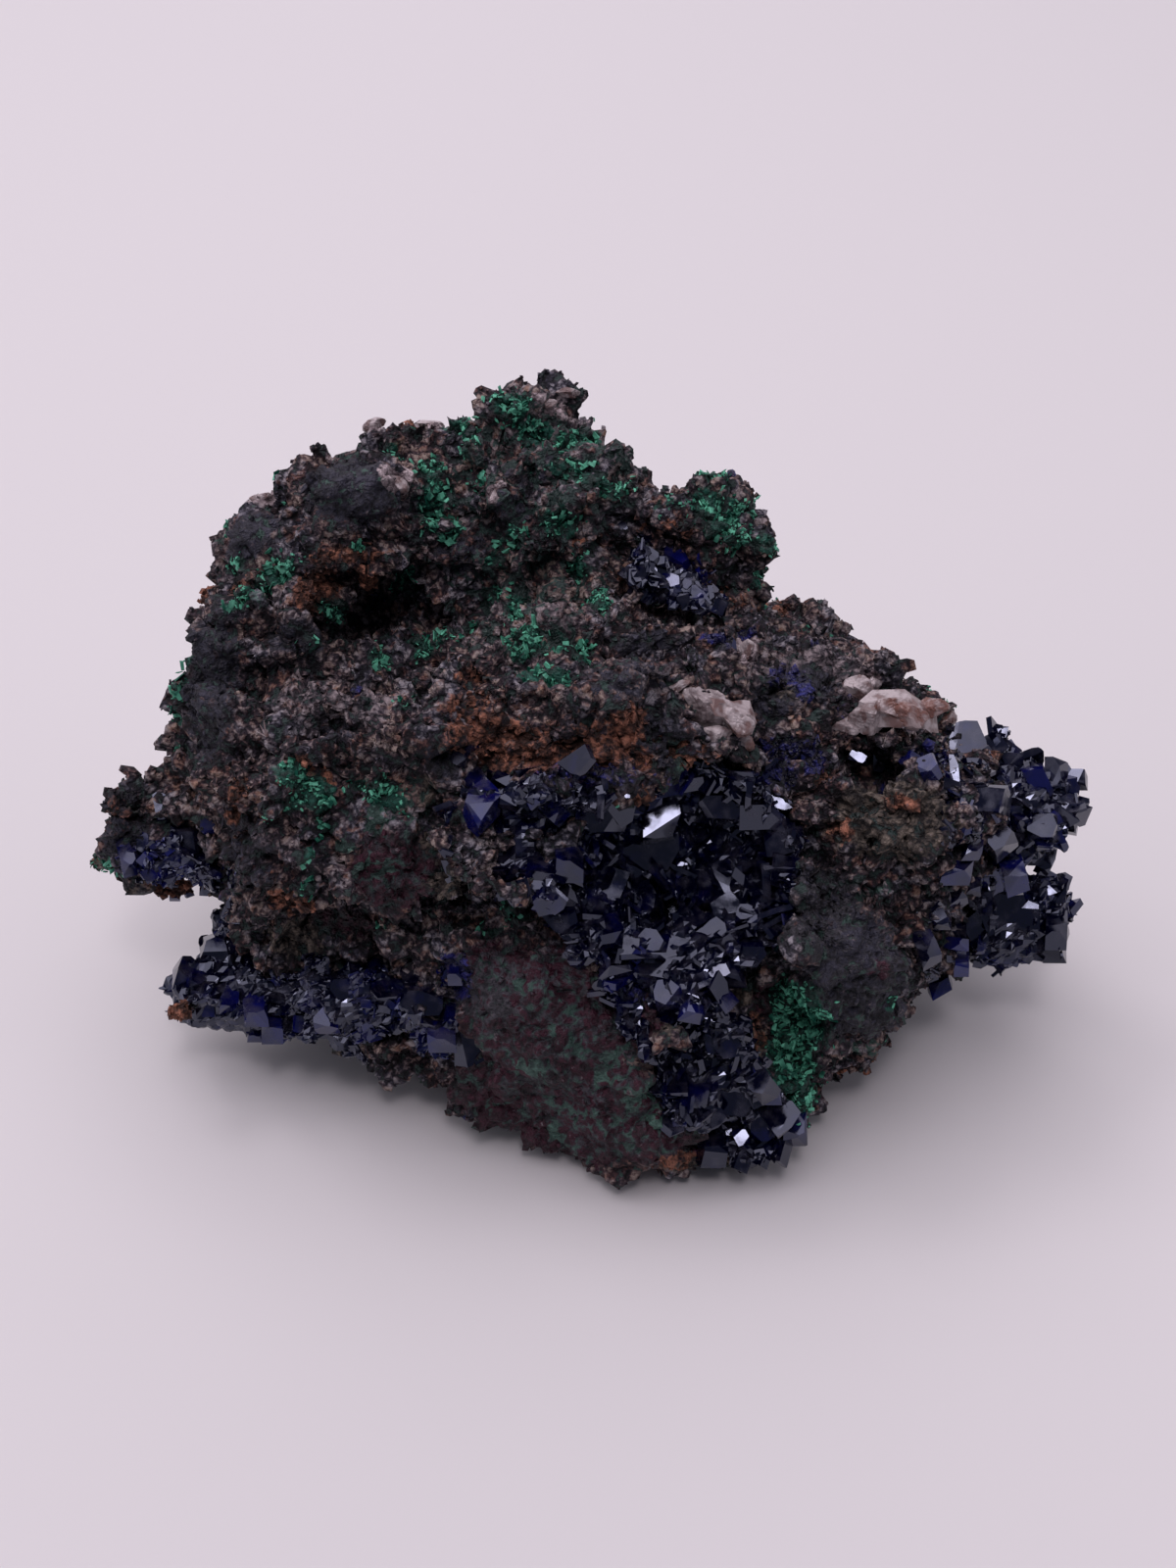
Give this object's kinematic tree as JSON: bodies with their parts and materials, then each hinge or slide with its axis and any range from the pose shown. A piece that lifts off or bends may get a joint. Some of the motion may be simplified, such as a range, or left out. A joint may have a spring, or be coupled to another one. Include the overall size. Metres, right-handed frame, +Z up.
{
  "type": "azurite mineral specimen",
  "caption": "Hand specimen of dark blue azurite crystals lining a hollow in brown limonite rock, with green malachite crumbs and pale quartz chips; rests on its flat underside.",
  "frame": {"origin": "middle of the bounding box's base, on the surface that the specimen rests on", "axes": "+X along the length, to the right as the display side is seen; -Y towards the display side; +Z up"},
  "size_m": [0.0892, 0.0618, 0.0539],
  "materials": {
    "limonite_rock": "rough, crumbly",
    "azurite": "glassy crystal faces",
    "quartz": "translucent, broken faces"
  },
  "bodies": {
    "root": {"matrix": "limonite_rock", "azurite_vug_crust": "azurite", "azurite_right_cluster": "azurite", "azurite_left_arm": "azurite", "azurite_claw_lining": "azurite", "azurite_top_pocket": "azurite", "quartz_middle": "quartz", "quartz_right": "quartz"}
  },
  "joints": []
}
